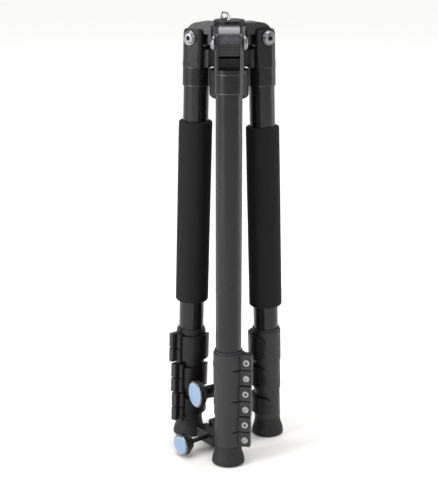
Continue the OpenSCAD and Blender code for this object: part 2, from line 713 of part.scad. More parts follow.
module camera_screw() color(metal) difference() {
    union() {
        down(-screw_tip) cylinder(r = thread_d / 2, h = plate_face - face_gap / 2 - screw_tip);
        // the neck in the plate's hole is thinner than the thread
        down(-plate_face + face_gap) cylinder(r = neck_share * thread_d / 2,
            h = clamp_floor - plate_face - head_deep + 2 * face_gap);
        down(-clamp_floor + head_deep - face_gap / 2)
            cylinder(r = screw_head, h = head_deep - face_gap);
    }
    translate([-screw_head, -rod_r / 2, clamp_floor - head_deep / 2])
        cube([2 * screw_head, rod_r, head_deep]);
}

hub();
pivot_bolts();
column_lock();
column_tube();
column_end_cap();
weight_hook();
head_base();
ball_housing();
ball_seat();
ball_stem();
clamp_body();
clamp_jaw();
clamp_knob();
clamp_knob_cap();
main_knob();
main_knob_cap();
pan_knob();
camera_plate();
camera_screw();
leg_casting(FRONT);  // front_casting
angle_tab(FRONT);  // front_angle_tab
leg_tube(FRONT, 0);  // front_tube_1
leg_tube(FRONT, 1);  // front_tube_2
leg_tube(FRONT, 2);  // front_tube_3
leg_tube(FRONT, 3);  // front_tube_4
leg_clamp(FRONT, 0);  // front_clamp_1
leg_clamp(FRONT, 1);  // front_clamp_2
leg_clamp(FRONT, 2);  // front_clamp_3
leg_lever(FRONT, 0);  // front_lever_1
leg_lever(FRONT, 1);  // front_lever_2
leg_lever(FRONT, 2);  // front_lever_3
foot(FRONT);  // front_foot
leg_casting(RIGHT);  // right_casting
angle_tab(RIGHT);  // right_angle_tab
leg_tube(RIGHT, 0);  // right_tube_1
leg_tube(RIGHT, 1);  // right_tube_2
leg_tube(RIGHT, 2);  // right_tube_3
leg_tube(RIGHT, 3);  // right_tube_4
leg_clamp(RIGHT, 0);  // right_clamp_1
leg_clamp(RIGHT, 1);  // right_clamp_2
leg_clamp(RIGHT, 2);  // right_clamp_3
leg_lever(RIGHT, 0);  // right_lever_1
leg_lever(RIGHT, 1);  // right_lever_2
leg_lever(RIGHT, 2);  // right_lever_3
foot(RIGHT);  // right_foot
leg_grip(RIGHT);  // right_grip
leg_casting(LEFT);  // left_casting
angle_tab(LEFT);  // left_angle_tab
leg_tube(LEFT, 0);  // left_tube_1
leg_tube(LEFT, 1);  // left_tube_2
leg_tube(LEFT, 2);  // left_tube_3
leg_tube(LEFT, 3);  // left_tube_4
leg_clamp(LEFT, 0);  // left_clamp_1
leg_clamp(LEFT, 1);  // left_clamp_2
leg_clamp(LEFT, 2);  // left_clamp_3
leg_lever(LEFT, 0);  // left_lever_1
leg_lever(LEFT, 1);  // left_lever_2
leg_lever(LEFT, 2);  // left_lever_3
foot(LEFT);  // left_foot
leg_grip(LEFT);  // left_grip
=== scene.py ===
import json
import math
import bpy
from mathutils import Matrix, Vector

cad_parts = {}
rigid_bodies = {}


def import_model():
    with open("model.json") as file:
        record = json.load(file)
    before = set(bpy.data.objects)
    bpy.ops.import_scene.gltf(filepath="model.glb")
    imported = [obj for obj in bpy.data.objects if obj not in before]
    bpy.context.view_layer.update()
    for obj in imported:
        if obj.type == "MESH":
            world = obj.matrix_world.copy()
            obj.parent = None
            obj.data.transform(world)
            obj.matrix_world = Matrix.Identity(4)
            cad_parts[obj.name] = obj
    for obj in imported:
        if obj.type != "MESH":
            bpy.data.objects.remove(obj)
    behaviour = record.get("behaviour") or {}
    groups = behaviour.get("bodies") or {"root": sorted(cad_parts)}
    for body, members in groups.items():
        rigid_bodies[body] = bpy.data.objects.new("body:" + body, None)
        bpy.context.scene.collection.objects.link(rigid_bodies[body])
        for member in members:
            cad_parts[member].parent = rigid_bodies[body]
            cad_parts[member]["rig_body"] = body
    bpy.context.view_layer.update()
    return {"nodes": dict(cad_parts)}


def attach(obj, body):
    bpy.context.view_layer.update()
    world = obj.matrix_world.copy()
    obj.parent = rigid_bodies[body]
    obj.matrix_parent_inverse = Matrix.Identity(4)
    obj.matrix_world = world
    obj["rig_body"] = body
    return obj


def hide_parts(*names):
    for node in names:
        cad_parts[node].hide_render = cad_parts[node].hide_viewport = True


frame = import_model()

scene = bpy.context.scene
nodes = frame["nodes"]
mm = 0.001
print("frame loaded,", len(nodes), "solids")

# the folded tripod's own sizes, as in the solids
legTurns = {"front": 270, "right": 30, "left": 150}
stance = {"pivotRing": 35.2, "splay": 1.77, "legLength": 415.3}
pivotHeight = stance["legLength"] * math.cos(math.radians(stance["splay"]))


def legFrame(leg):  # pivot at the origin, +X away from the column, -Z down the leg
    return (Matrix.Rotation(math.radians(legTurns[leg]), 4, "Z")
            @ Matrix.Translation((stance["pivotRing"] * mm, 0, pivotHeight * mm))
            @ Matrix.Rotation(math.radians(-stance["splay"]), 4, "Y"))


# camera, light, floor
photoCamera = {"place": (0.0, -1.1772, 0.5485), "tiltDown": 16.19, "turnLeft": 0.47,
               "lens": 88.8, "filmHeight": 36.0}

cameraData = bpy.data.cameras.new("photoCamera")
cameraData.sensor_fit = "VERTICAL"
cameraData.sensor_height = photoCamera["filmHeight"]
cameraData.lens = photoCamera["lens"]
cameraObject = bpy.data.objects.new("photoCamera", cameraData)
scene.collection.objects.link(cameraObject)
cameraObject.location = photoCamera["place"]
cameraObject.rotation_euler = (math.radians(90 - photoCamera["tiltDown"]), 0,
                               math.radians(photoCamera["turnLeft"]))
scene.camera = cameraObject
scene.view_settings.view_transform = "Standard"


def linear(hexColour):  # sRGB hex to the linear colour that shaders use
    values = [int(hexColour[i:i + 2], 16) / 255 for i in (0, 2, 4)]
    return [v / 12.92 if v <= 0.04045 else ((v + 0.055) / 1.055) ** 2.4 for v in values] + [1.0]


def addNode(tree, kind, settings=None, values=None, links=None):
    node = tree.nodes.new("ShaderNode" + kind)
    for key, value in (settings or {}).items():
        setattr(node, key, value)
    for key, value in (values or {}).items():
        node.inputs[key].default_value = value
    for key, source in (links or {}).items():
        tree.links.new(source, node.inputs[key])
    return node


# strengths, and the two values of a direction's Y between which its reflection brightens
room = {"ambient": 0.38, "frontReflection": 0.07, "backReflection": 0.4,
        "wallFrom": 0.1, "wallTo": 0.8}
white = (1, 1, 1, 1)


def makeRoom():
    world = bpy.data.worlds.new("studioRoom")
    world.use_nodes = True
    tree = world.node_tree
    tree.nodes.clear()
    rays = addNode(tree, "LightPath")
    where = addNode(tree, "TexCoord")
    axes = addNode(tree, "SeparateXYZ", links={0: where.outputs["Generated"]})
    # metal and glass see the white wall behind the tripod and a dimmer room in front of it
    wall = addNode(tree, "MapRange", {"interpolation_type": "SMOOTHSTEP"},
                   {"From Min": room["wallFrom"], "From Max": room["wallTo"],
                    "To Min": room["frontReflection"], "To Max": room["backReflection"]},
                   {"Value": axes.outputs["Y"]})
    seen = addNode(tree, "Math", {"operation": "MAXIMUM"},
                   links={0: rays.outputs["Is Camera Ray"], 1: rays.outputs["Is Transmission Ray"]})
    glossy = addNode(tree, "Mix", {"data_type": "FLOAT"}, {"A": room["ambient"]},
                     {"Factor": rays.outputs["Is Glossy Ray"], "B": wall.outputs["Result"]})
    strength = addNode(tree, "Mix", {"data_type": "FLOAT"}, {"B": 1.0},
                       {"Factor": seen.outputs[0], "A": glossy.outputs["Result"]})
    sky = addNode(tree, "Background", values={"Color": white},
                  links={"Strength": strength.outputs["Result"]})
    addNode(tree, "OutputWorld", links={"Surface": sky.outputs[0]})
    scene.world = world


def makeLamp(name, place, aim, size, power):
    data = bpy.data.lights.new(name, "AREA")
    data.shape = "RECTANGLE"
    data.size, data.size_y = size
    data.energy = power
    lamp = bpy.data.objects.new(name, data)
    scene.collection.objects.link(lamp)
    lamp.location = place
    lamp.rotation_euler = (Vector(aim) - Vector(place)).to_track_quat("-Z", "Y").to_euler()


# places and sizes in metres, power in watts
lamps = {
    "keySoftbox": dict(place=(-1.5, -0.95, 0.95), aim=(0, 0, 0.2), size=(0.7, 1.3), power=34),
    "frontFill": dict(place=(0.7, -1.9, 1.3), aim=(0, 0, 0.2), size=(1.0, 1.0), power=11),
    "rightStrip": dict(place=(1.5, 0.35, 0.7), aim=(0, 0, 0.2), size=(0.35, 1.4), power=5),
    "topPanel": dict(place=(0.1, 0.25, 1.9), aim=(0, 0, 0.1), size=(1.4, 1.8), power=32),
}

# metres; the glow rises from near to far
floorLook = {"size": 24.0, "colour": "f0efed", "nearGlow": 0.0, "farGlow": 0.6,
             "near": 0.35, "far": 2.5}


def makeFloor():
    bpy.ops.object.select_all(action="DESELECT")
    bpy.ops.mesh.primitive_plane_add(size=floorLook["size"], location=(0, 0, 0))
    floor = bpy.context.object
    floor.name = "paperFloor"
    # matt white paper; it glows a little further off, so that it runs into the white wall
    paper = bpy.data.materials.new("mattWhitePaper")
    paper.use_nodes = True
    tree = paper.node_tree
    tree.nodes.clear()
    rays = addNode(tree, "LightPath")
    direct = addNode(tree, "Math", {"operation": "MAXIMUM"},
                     links={0: rays.outputs["Is Camera Ray"], 1: rays.outputs["Is Glossy Ray"]})
    seen = addNode(tree, "Math", {"operation": "MAXIMUM"},
                   links={0: direct.outputs[0], 1: rays.outputs["Is Transmission Ray"]})
    place = addNode(tree, "TexCoord").outputs["Object"]
    away = addNode(tree, "VectorMath", {"operation": "LENGTH"}, links={0: place})
    fade = addNode(tree, "MapRange", {"interpolation_type": "SMOOTHSTEP"},
                   {"From Min": floorLook["near"], "From Max": floorLook["far"],
                    "To Min": floorLook["nearGlow"], "To Max": floorLook["farGlow"]},
                   {"Value": away.outputs["Value"]})
    glow = addNode(tree, "Math", {"operation": "MULTIPLY"},
                   links={0: seen.outputs[0], 1: fade.outputs["Result"]})
    surface = addNode(tree, "BsdfDiffuse", values={"Color": linear(floorLook["colour"])})
    light = addNode(tree, "Emission", values={"Color": white},
                    links={"Strength": glow.outputs[0]})
    both = addNode(tree, "AddShader", links={0: surface.outputs[0], 1: light.outputs[0]})
    addNode(tree, "OutputMaterial", links={"Surface": both.outputs[0]})
    floor.data.materials.append(paper)


makeRoom()
for name, lamp in lamps.items():
    makeLamp(name, **lamp)
makeFloor()
print("camera, lamps and floor ready")

# finishes
# grain is the size of the surface's own texture in mm, and depth is its height
finishes = {
    # aluminium tube, powder coated black: smooth satin with a very faint orange peel
    "powderCoatedTube": dict(dark="111114", light="18181b", patch=14, rough=0.25, roughSpread=0.04,
                             grain=0.5, depth=0.003, ior=1.42),
    # die-cast magnesium, wet painted: satin black, softly uneven from the casting
    "paintedCasting": dict(dark="101012", light="18181b", patch=6, rough=0.28, roughSpread=0.05,
                           grain=0.7, depth=0.006, ior=1.38),
    # the hub's casting: satin, with a clearer reflection than the legs' castings
    "satinHubCasting": dict(dark="141417", light="1c1c20", patch=6, rough=0.25, roughSpread=0.04,
                            grain=0.7, depth=0.004, ior=1.55),
    # glass-filled nylon, moulded: charcoal, matt, with a fine spark-eroded grain
    "glassFilledNylon": dict(dark="1e1e21", light="27272a", patch=5, rough=0.52, roughSpread=0.08,
                             grain=0.35, depth=0.02, ior=1.46),
    # domes of the hub's arms: a greyer colour painted on as a highlight, and shinier, after the
    # silvery front arm in the photo
    "paintedSheenDome": dict(dark="303035", light="3c3c42", patch=6, rough=0.27, roughSpread=0.04,
                          grain=0.7, depth=0.003, ior=1.75),
    # the levers' nylon: a deeper black than the collars, partly the nylon's own black and partly
    # painted shade for the shadow the levers sit in
    "blackAndShadedLeverNylon": dict(dark="0b0b0c", light="121214", patch=5, rough=0.42, roughSpread=0.06,
                            grain=0.35, depth=0.012, ior=1.42),
    # ABS, moulded: black, a little glossier than the nylon
    "mouldedAbs": dict(dark="151517", light="1d1d20", patch=5, rough=0.4, roughSpread=0.08,
                       grain=0.4, depth=0.015, ior=1.42),
    # moulded rubber: dull charcoal with a dusty bloom
    "mouldedRubber": dict(dark="151517", light="1d1d1f", patch=4, rough=0.7, roughSpread=0.1,
                          grain=0.4, depth=0.03, ior=1.5),
    # closed-cell foam sleeve: almost no gloss, fine open cells on its cut skin
    "closedCellFoam": dict(dark="0f0f10", light="19191a", patch=9, rough=0.93, roughSpread=0.05,
                           grain=0.9, depth=0.09, ior=1.4, cells=True),
    # stainless steel, machined: bright, with a fine grain
    "machinedSteel": dict(dark="7d7e80", light="999a9c", patch=2, rough=0.34, roughSpread=0.1,
                          grain=0.25, depth=0.004, metallic=1.0),
    # chromed wire: the brightest metal here, with the clearest reflections
    "chromedWire": dict(dark="9fa1a4", light="bcbec1", patch=3, rough=0.2, roughSpread=0.06,
                        grain=0.3, depth=0.002, metallic=1.0),
    # zinc-plated socket screws: pale grey, and duller than the bolts' steel
    "zincScrew": dict(dark="8f8f8d", light="a8a8a5", patch=1.5, rough=0.42, roughSpread=0.06,
                      grain=0.2, depth=0.004, metallic=0.55),
    # turned aluminium, clear anodised: even, pale and satin
    "clearAnodisedBall": dict(dark="8f9193", light="a3a5a8", patch=6, rough=0.3, roughSpread=0.06,
                              grain=0.3, depth=0.003, metallic=1.0),
    # aluminium disc, pale blue anodised: satin, nearly flat in colour
    "blueAnodisedDisc": dict(dark="7b93b3", light="869dbc", patch=4, rough=0.42, roughSpread=0.05,
                             grain=0.25, depth=0.003, ior=1.5),
    # the same disc's turned border, paler than its middle
    "paleDiscRing": dict(dark="93a5bd", light="a0b0c6", patch=4, rough=0.36, roughSpread=0.05,
                         grain=0.25, depth=0.003, ior=1.5),
    # bevel that was cut on the knob's rim: bare metal, gone dull
    "cutAluminiumRim": dict(dark="6a7478", light="7e888b", patch=3, rough=0.3, roughSpread=0.05,
                            grain=0.25, depth=0.003, metallic=0.6),
    # painted shade at the bottom of a screw's hexagon socket, near black
    "paintedSocketShade": dict(dark="0c0c0c", light="151514", patch=1.5, rough=0.5, roughSpread=0.05,
                        grain=0.2, depth=0.004, ior=1.5),
    # line turned through the casting's paint, down to dull metal
    "turnedLine": dict(dark="6d6d70", light="85858a", patch=2, rough=0.4, roughSpread=0.05,
                       grain=0.2, depth=0.004, metallic=0.7),
    # acetal, turned: off-white friction seat behind the ball
    "turnedAcetal": dict(dark="b9b7b0", light="c8c6bf", patch=5, rough=0.45, roughSpread=0.05,
                         grain=0.3, depth=0.004, ior=1.48),
}

patchNoise = {"Detail": 4.0, "Roughness": 0.6}
patchRange = (0.3, 0.7)  # where most of that noise lies
grainDetail = 2.0


def makeFinish(name, look):
    finish = bpy.data.materials.new(name)
    finish.use_nodes = True
    tree = finish.node_tree
    tree.nodes.clear()
    place = addNode(tree, "TexCoord").outputs["Object"]
    patches = addNode(tree, "TexNoise", values={"Scale": 1 / (look["patch"] * mm), **patchNoise},
                      links={"Vector": place})
    tone = addNode(tree, "Mix", {"data_type": "RGBA"},
                   {6: linear(look["dark"]), 7: linear(look["light"])},
                   {"Factor": patches.outputs["Fac"]})
    rough = addNode(tree, "MapRange",
                    values={"From Min": patchRange[0], "From Max": patchRange[1],
                            "To Min": look["rough"] - look["roughSpread"],
                            "To Max": look["rough"] + look["roughSpread"]},
                    links={"Value": patches.outputs["Fac"]})
    if look.get("cells"):
        grain = addNode(tree, "TexVoronoi", {"feature": "F1"},
                        {"Scale": 1 / (look["grain"] * mm)}, {"Vector": place})
        height = grain.outputs["Distance"]
    else:
        grain = addNode(tree, "TexNoise", links={"Vector": place},
                        values={"Scale": 1 / (look["grain"] * mm), "Detail": grainDetail})
        height = grain.outputs["Fac"]
    bump = addNode(tree, "Bump", values={"Strength": 1.0, "Distance": look["depth"] * mm},
                   links={"Height": height})
    skin = addNode(tree, "BsdfPrincipled", values={"Metallic": look.get("metallic", 0.0)},
                   links={"Base Color": tone.outputs[2], "Roughness": rough.outputs["Result"],
                          "Normal": bump.outputs["Normal"]})
    if "ior" in look:
        skin.inputs["IOR"].default_value = look["ior"]
    addNode(tree, "OutputMaterial", links={"Surface": skin.outputs[0]})
    return finish


finish = {name: makeFinish(name, look) for name, look in finishes.items()}
print("finishes ready:", len(finish))

# working by hand
mergeGap = 0.002 * mm  # points nearer than this become one
flatAngle = 0.4        # degrees: faces that meet flatter than this become one
sharpAngle = 32        # degrees: edges sharper than this stay sharp
bevelParts = 2


def only(piece):  # make this the one selected, active object
    bpy.ops.object.select_all(action="DESELECT")
    piece.select_set(True)
    bpy.context.view_layer.objects.active = piece


def primitive(name, kind, **size):
    bpy.ops.object.select_all(action="DESELECT")
    getattr(bpy.ops.mesh, "primitive_" + kind + "_add")(**size)
    piece = bpy.context.object
    piece.name = name
    piece.data.name = name
    return piece


def pick(piece, test):  # select faces by their centre, in edit mode
    bpy.ops.mesh.select_mode(type="FACE")
    bpy.ops.mesh.select_all(action="DESELECT")
    bpy.ops.object.mode_set(mode="OBJECT")
    for face in piece.data.polygons:
        face.select = test(face.center)
    bpy.ops.object.mode_set(mode="EDIT")


def modify(piece, kind, **settings):
    only(piece)
    step = piece.modifiers.new(kind.lower(), kind)
    for key, value in settings.items():
        setattr(step, key, value)
    bpy.ops.object.modifier_apply(modifier=step.name)


def bevel(piece, width, angle):  # width in mm
    modify(piece, "BEVEL", width=width * mm, segments=bevelParts, limit_method="ANGLE",
           angle_limit=math.radians(angle), use_clamp_overlap=True)


def smooth(piece, angle=sharpAngle):
    only(piece)
    bpy.ops.object.shade_smooth_by_angle(angle=math.radians(angle))


def place(piece, matrix):  # the place goes into the mesh, and the object stays at the origin
    piece.data.transform(matrix)
    piece.matrix_world = Matrix.Identity(4)
    piece.data.update()


def atOrigin(piece):
    only(piece)
    bpy.ops.object.transform_apply(location=True, rotation=True, scale=True)


def turned(name, profile, steps=96):
    # a lathe: one point drawn along the profile (radius, height in mm) and spun about Z
    piece = primitive(name, "plane", size=mm)
    bpy.ops.object.mode_set(mode="EDIT")
    bpy.ops.mesh.select_mode(type="VERT")
    bpy.ops.mesh.select_all(action="SELECT")
    bpy.ops.mesh.merge(type="CENTER")
    bpy.ops.transform.translate(value=(profile[0][0] * mm, 0, profile[0][1] * mm))
    for start, end in zip(profile, profile[1:]):
        bpy.ops.mesh.extrude_region_move(TRANSFORM_OT_translate={
            "value": ((end[0] - start[0]) * mm, 0, (end[1] - start[1]) * mm)})
    bpy.ops.mesh.select_all(action="SELECT")
    bpy.ops.mesh.spin(steps=steps, angle=2 * math.pi, center=(0, 0, 0), axis=(0, 0, 1))
    bpy.ops.mesh.select_all(action="SELECT")
    bpy.ops.mesh.remove_doubles(threshold=mergeGap)
    bpy.ops.mesh.normals_make_consistent(inside=False)
    bpy.ops.object.mode_set(mode="OBJECT")
    return piece


def joined(name, pieces):
    bpy.ops.object.select_all(action="DESELECT")
    for piece in pieces:
        piece.select_set(True)
    bpy.context.view_layer.objects.active = pieces[0]
    bpy.ops.object.join()
    pieces[0].name = name
    return pieces[0]


def dress(piece, material, *replaced):  # finish it, put it on the body of what it stands for
    piece.data.materials.clear()
    piece.data.materials.append(finish[material])
    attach(piece, nodes[replaced[0]]["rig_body"])
    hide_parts(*replaced)


def paint(piece, material, test):  # a second finish on some of a piece's faces
    piece.data.materials.append(finish[material])
    last = len(piece.data.materials) - 1
    for face in piece.data.polygons:
        if test(face.center, face.normal):
            face.material_index = last


def softened(name, node, edge):  # a merged copy of a solid, with its sharp edges broken
    piece = nodes[node].copy()
    piece.data = nodes[node].data.copy()
    scene.collection.objects.link(piece)
    for key in [k for k in piece.keys() if k.startswith("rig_")]:
        del piece[key]
    piece.parent = None
    piece.name = name
    piece.data.name = name
    only(piece)
    bpy.ops.object.mode_set(mode="EDIT")
    bpy.ops.mesh.select_all(action="SELECT")
    bpy.ops.mesh.remove_doubles(threshold=mergeGap)
    bpy.ops.mesh.dissolve_limited(angle_limit=math.radians(flatAngle))
    bpy.ops.object.mode_set(mode="OBJECT")
    bevel(piece, edge, sharpAngle)
    smooth(piece)
    modify(piece, "WEIGHTED_NORMAL", mode="FACE_AREA_WITH_ANGLE", keep_sharp=True)
    return piece


def roundedCorner(radius, height, corner, firstAngle, parts=6):  # points of a quarter arc, in mm
    return [(radius - corner + corner * math.cos(math.radians(firstAngle + 90 * k / parts)),
             height + corner * math.sin(math.radians(firstAngle + 90 * k / parts)))
            for k in range(parts + 1)]


# foam sleeves: place and length along the leg, from the pivot, in mm
foamSleeve = {"tops": {"left": 81.15, "right": 86.65}, "length": 185.9, "radius": 16.66,
              "bore": 12.56, "corner": 2.3, "ringStep": 2.0, "lip": 0.6, "lipRise": 0.1,
              "swellDepth": 0.25, "swellSize": 30.0, "steps": 80, "softAngle": 40}


def makeFoamSleeve(leg):
    look = foamSleeve
    outer, inner, length, corner = look["radius"], look["bore"], look["length"], look["corner"]
    lip, rise = look["lip"], look["lipRise"]
    rings = int((length - 2 * corner) / look["ringStep"])
    profile = ([(inner, lip), (inner + lip, rise)]
               + roundedCorner(outer, corner, corner, -90)
               + [(outer, corner + (length - 2 * corner) * k / rings) for k in range(1, rings)]
               + roundedCorner(outer, length - corner, corner, 0)
               + [(inner + lip, length - rise), (inner, length - lip), (inner, lip)])
    piece = turned(leg + "FoamSleeve", profile, steps=look["steps"])
    # pushed on by hand, the skin lies a little unevenly along its length
    swell = bpy.data.textures.new(leg + "FoamSwell", "CLOUDS")
    swell.noise_scale = look["swellSize"] * mm
    modify(piece, "DISPLACE", texture=swell, texture_coords="LOCAL",
           strength=-look["swellDepth"] * mm, mid_level=0.0)
    smooth(piece, look["softAngle"])
    place(piece, legFrame(leg) @ Matrix.Translation((0, 0, -(look["tops"][leg] + length) * mm)))
    dress(piece, "closedCellFoam", leg + "_grip")


for leg in foamSleeve["tops"]:
    makeFoamSleeve(leg)
print("foam sleeves ready")

# knobs: profiles are radius and distance from the column's axis in mm, from the shaft to the face
mainKnob = {"turn": 210, "height": 60.0, "flutes": 20, "fluteDepth": 0.45,
            "shaft": 2.95, "shaftEnd": 11.35,
            "profile": [(2.95, 28.65), (8.3, 28.65), (9.4, 29.6), (12.4, 32.7), (13.25, 33.8),
                        (13.45, 34.6), (13.45, 38.5), (13.2, 39.1), (12.5, 39.55), (12.0, 39.55),
                        (11.9, 39.3)],
            "rimBand": (34.6, 38.5), "chamfer": 38.55, "cap": "main_knob_cap", "capRadius": 11.82,
            "capFace": 39.97}
clampKnob = {"turn": 219, "height": 13.2, "flutes": 18, "fluteDepth": 0.4,
             "shaft": 2.25, "shaftEnd": 7.65,
             "profile": [(2.25, 50.15), (6.8, 50.15), (7.6, 51.0), (10.0, 55.0), (10.75, 56.1),
                         (10.95, 56.9), (10.95, 61.4), (10.7, 62.0), (10.0, 62.5), (9.2, 62.5),
                         (9.1, 62.3)],
             "rimBand": (56.9, 61.4), "chamfer": 61.45, "cap": "clamp_knob_cap", "capRadius": 8.97,
             "capFace": 62.97}
# both knobs' small forms: the disc's edge is inward of its rim and down from its face, and
# the cut rim is where faces look further towards the knob's face than rimFacing
knobTrim = {"bevel": 0.15, "bevelAngle": 28, "rimFacing": 0.2, "discGap": 0.02, "paleRing": 1.28,
            "discEdge": ((0, 0.3), (0.12, 0.08), (0.5, 0), (1.2, 0), (1.35, 0.12), (1.5, 0.05))}
# one flute takes this many of the lathe's faces, one of them sunk, where the piece is widest
fluteForm = {"parts": 4, "inset": 0.12, "widestShare": 0.97}


def flute(piece, count, depth, band, radius):  # sink faces of a band round a turned piece
    low, high = [v * mm for v in band]
    parts = fluteForm["parts"]

    def onFlute(centre):
        part = int((math.degrees(math.atan2(centre.y, centre.x)) % 360) / 360 * count * parts)
        widest = centre.xy.length > fluteForm["widestShare"] * radius * mm
        return low < centre.z < high and widest and part % parts == 0

    only(piece)
    bpy.ops.object.mode_set(mode="EDIT")
    pick(piece, onFlute)
    bpy.ops.mesh.inset(thickness=fluteForm["inset"] * mm, depth=-depth * mm,
                       use_individual=True)
    bpy.ops.object.mode_set(mode="OBJECT")


def makeKnob(name, look, node):
    across = (Matrix.Rotation(math.radians(look["turn"]), 4, "Z")
              @ Matrix.Translation((0, 0, look["height"] * mm))
              @ Matrix.Rotation(math.radians(90), 4, "Y"))
    face = look["profile"][-1][1]
    profile = ([(0, look["shaftEnd"]), (look["shaft"], look["shaftEnd"])] + look["profile"]
               + [(0, face)])
    piece = turned(name, profile, steps=look["flutes"] * fluteForm["parts"])
    flute(piece, look["flutes"], look["fluteDepth"], look["rimBand"], max(r for r, z in profile))
    bevel(piece, knobTrim["bevel"], knobTrim["bevelAngle"])
    smooth(piece)
    dress(piece, "mouldedAbs", node)
    paint(piece, "cutAluminiumRim", lambda c, n: c.z > look["chamfer"] * mm
          and c.xy.length > look["capRadius"] * mm and n.z > knobTrim["rimFacing"])
    place(piece, across)

    # the anodised disc, with the pale ring where its edge was turned
    top, rim, edge = look["capFace"], look["capRadius"], knobTrim["discEdge"]
    low = face + knobTrim["discGap"]
    disc = turned(name + "Disc", [(0, low), (rim, low)] + [(rim - r, top - z) for r, z in edge]
                  + [(0, top - edge[-1][1])])
    smooth(disc)
    dress(disc, "blueAnodisedDisc", look["cap"])
    paint(disc, "paleDiscRing", lambda c, n: c.xy.length > (rim - knobTrim["paleRing"]) * mm)
    place(disc, across)


makeKnob("mainKnob", mainKnob, "main_knob")
makeKnob("clampKnob", clampKnob, "clamp_knob")
print("knobs ready")

# rubber feet: heights over the sole, and the sole is moulded level although the leg leans.
# flare is inward of the sole and collar outward of the top, each with its height, and
# lip is inward of the top and down from the foot's height
rubberFoot = {"sole": 16.45, "top": 13.15, "height": 19.25, "bore": 8.02, "floor": 5.0,
              "treadRings": (6.5, 9.5, 12.5), "treadDepth": 0.9, "treadOpen": 0.55, "treadShut": 0.3,
              "toe": 2.2, "flare": ((0.55, 6.2), (1.6, 9.6), (2.6, 12.6)),
              "collar": ((0.25, 15.4), (0, 17.4)), "lip": ((0, 0.7), (0.2, 0.2), (0.7, 0)),
              "steps": 72, "softAngle": 38}


def makeFoot(leg):
    look = rubberFoot
    sole, top, height, bore = look["sole"], look["top"], look["height"], look["bore"]
    wide, narrow, toe = look["treadOpen"], look["treadShut"], look["toe"]
    drop = sole * math.tan(math.radians(stance["splay"]))
    tread = []
    for ring in look["treadRings"]:
        tread += [(ring - wide, 0.0), (ring - narrow, look["treadDepth"] + drop),
                  (ring + narrow, look["treadDepth"] + drop), (ring + wide, 0.0)]
    profile = ([(0, 0)] + tread + roundedCorner(sole, toe + drop, toe, -90)
               + [(sole - r, z + drop) for r, z in look["flare"]]
               + [(top + r, z + drop) for r, z in look["collar"]]
               + [(top - r, height - z + drop) for r, z in look["lip"]]
               + [(bore, height + drop), (bore, look["floor"] + drop), (0, look["floor"] + drop)])
    piece = turned(leg + "RubberFoot", profile, steps=look["steps"])
    smooth(piece, look["softAngle"])
    place(piece, legFrame(leg) @ Matrix.Translation((0, 0, -(stance["legLength"] + drop) * mm)))
    only(piece)
    bpy.ops.object.mode_set(mode="EDIT")
    bpy.ops.mesh.select_all(action="SELECT")
    bpy.ops.mesh.bisect(plane_co=(0, 0, 0), plane_no=(0, 0, 1), use_fill=True, clear_inner=True)
    bpy.ops.object.mode_set(mode="OBJECT")
    smooth(piece, look["softAngle"])
    dress(piece, "mouldedRubber", leg + "_foot")


for leg in legTurns:
    makeFoot(leg)
print("feet ready")

# pivot bolts: seat is the distance from the middle of the arm to the underside of a head,
# dome is inward of the head's rim and up from its seat, and crown inward and down from its top
pivotBolt = {"head": 6.97, "rise": 3.68, "seat": 13.63, "shank": 2.98, "socket": 2.45,
             "socketDepth": 2.2, "steps": 64,
             "dome": ((0.2, 0), (0, 0.2), (0, 0.7), (0.14, 1.25), (0.42, 1.75), (0.75, 1.95),
                      (1.0, 1.9), (1.25, 2.3), (1.6, 2.72), (2.2, 3.2), (2.9, 3.55)),
             "crown": ((3.5, 0), (4.0, 0), (4.2, 0.2)),
             "socketZoneShare": 1.02, "socketLow": 0.5, "socketHigh": 0.3}


def armFrame(leg):  # pivot at the origin, level, +X away from the column
    return (Matrix.Rotation(math.radians(legTurns[leg]), 4, "Z")
            @ Matrix.Translation((stance["pivotRing"] * mm, 0, pivotHeight * mm)))


def makePivotBolts():
    look = pivotBolt
    head, rise, seat = look["head"], look["rise"], look["seat"]
    profile = ([(0, 0), (look["shank"], 0), (look["shank"], seat)]
               + [(head - r, seat + z) for r, z in look["dome"]]
               + [(head - r, seat + rise - z) for r, z in look["crown"]]
               + [(0, seat + rise - look["crown"][-1][1])])
    pieces = []
    homes = []
    for leg in legTurns:
        for side in (1, -1):
            piece = turned("bolt", profile, steps=look["steps"])
            key = primitive("key", "cylinder", vertices=6, radius=look["socket"] * mm,
                            depth=2 * look["socketDepth"] * mm,
                            location=(0, 0, (seat + rise) * mm))
            atOrigin(key)
            modify(piece, "BOOLEAN", object=key, operation="DIFFERENCE", solver="EXACT")
            bpy.data.objects.remove(key)
            smooth(piece)
            across = armFrame(leg) @ Matrix.Rotation(math.radians(-90 * side), 4, "X")
            place(piece, across)
            pieces.append(piece)
            homes.append(across.inverted())

    def inShadedSocket(centre, normal):
        spots = [home @ centre for home in homes]
        low, high = (seat + look["socketLow"]) * mm, (seat + rise - look["socketHigh"]) * mm
        return any(spot.xy.length < look["socketZoneShare"] * look["socket"] * mm
                   and low < spot.z < high for spot in spots)

    bolts = joined("pivotBolts", pieces)
    dress(bolts, "machinedSteel", "pivot_bolts")
    # painted shade on the walls and floors of the bolts' hexagon sockets
    paint(bolts, "paintedSocketShade", inShadedSocket)


makePivotBolts()
print("bolts ready")

# column: twist lock, end cap and weight hook
# in twistLock, rim is inward of its radius and down from its height
twistLock = {"low": 359.0, "height": 27.55, "radius": 18.95, "corner": 4.4, "cornerParts": 8,
             "bore": 13.12, "boreEdge": 0.4, "neckBore": 15.02, "edge": 0.5, "lip": 7.0,
             "rim": ((0, 1.2), (0.35, 0.4), (1.0, 0)),
             "ribs": 36, "ribDepth": 0.45, "ribBand": (5.0, 24.6)}


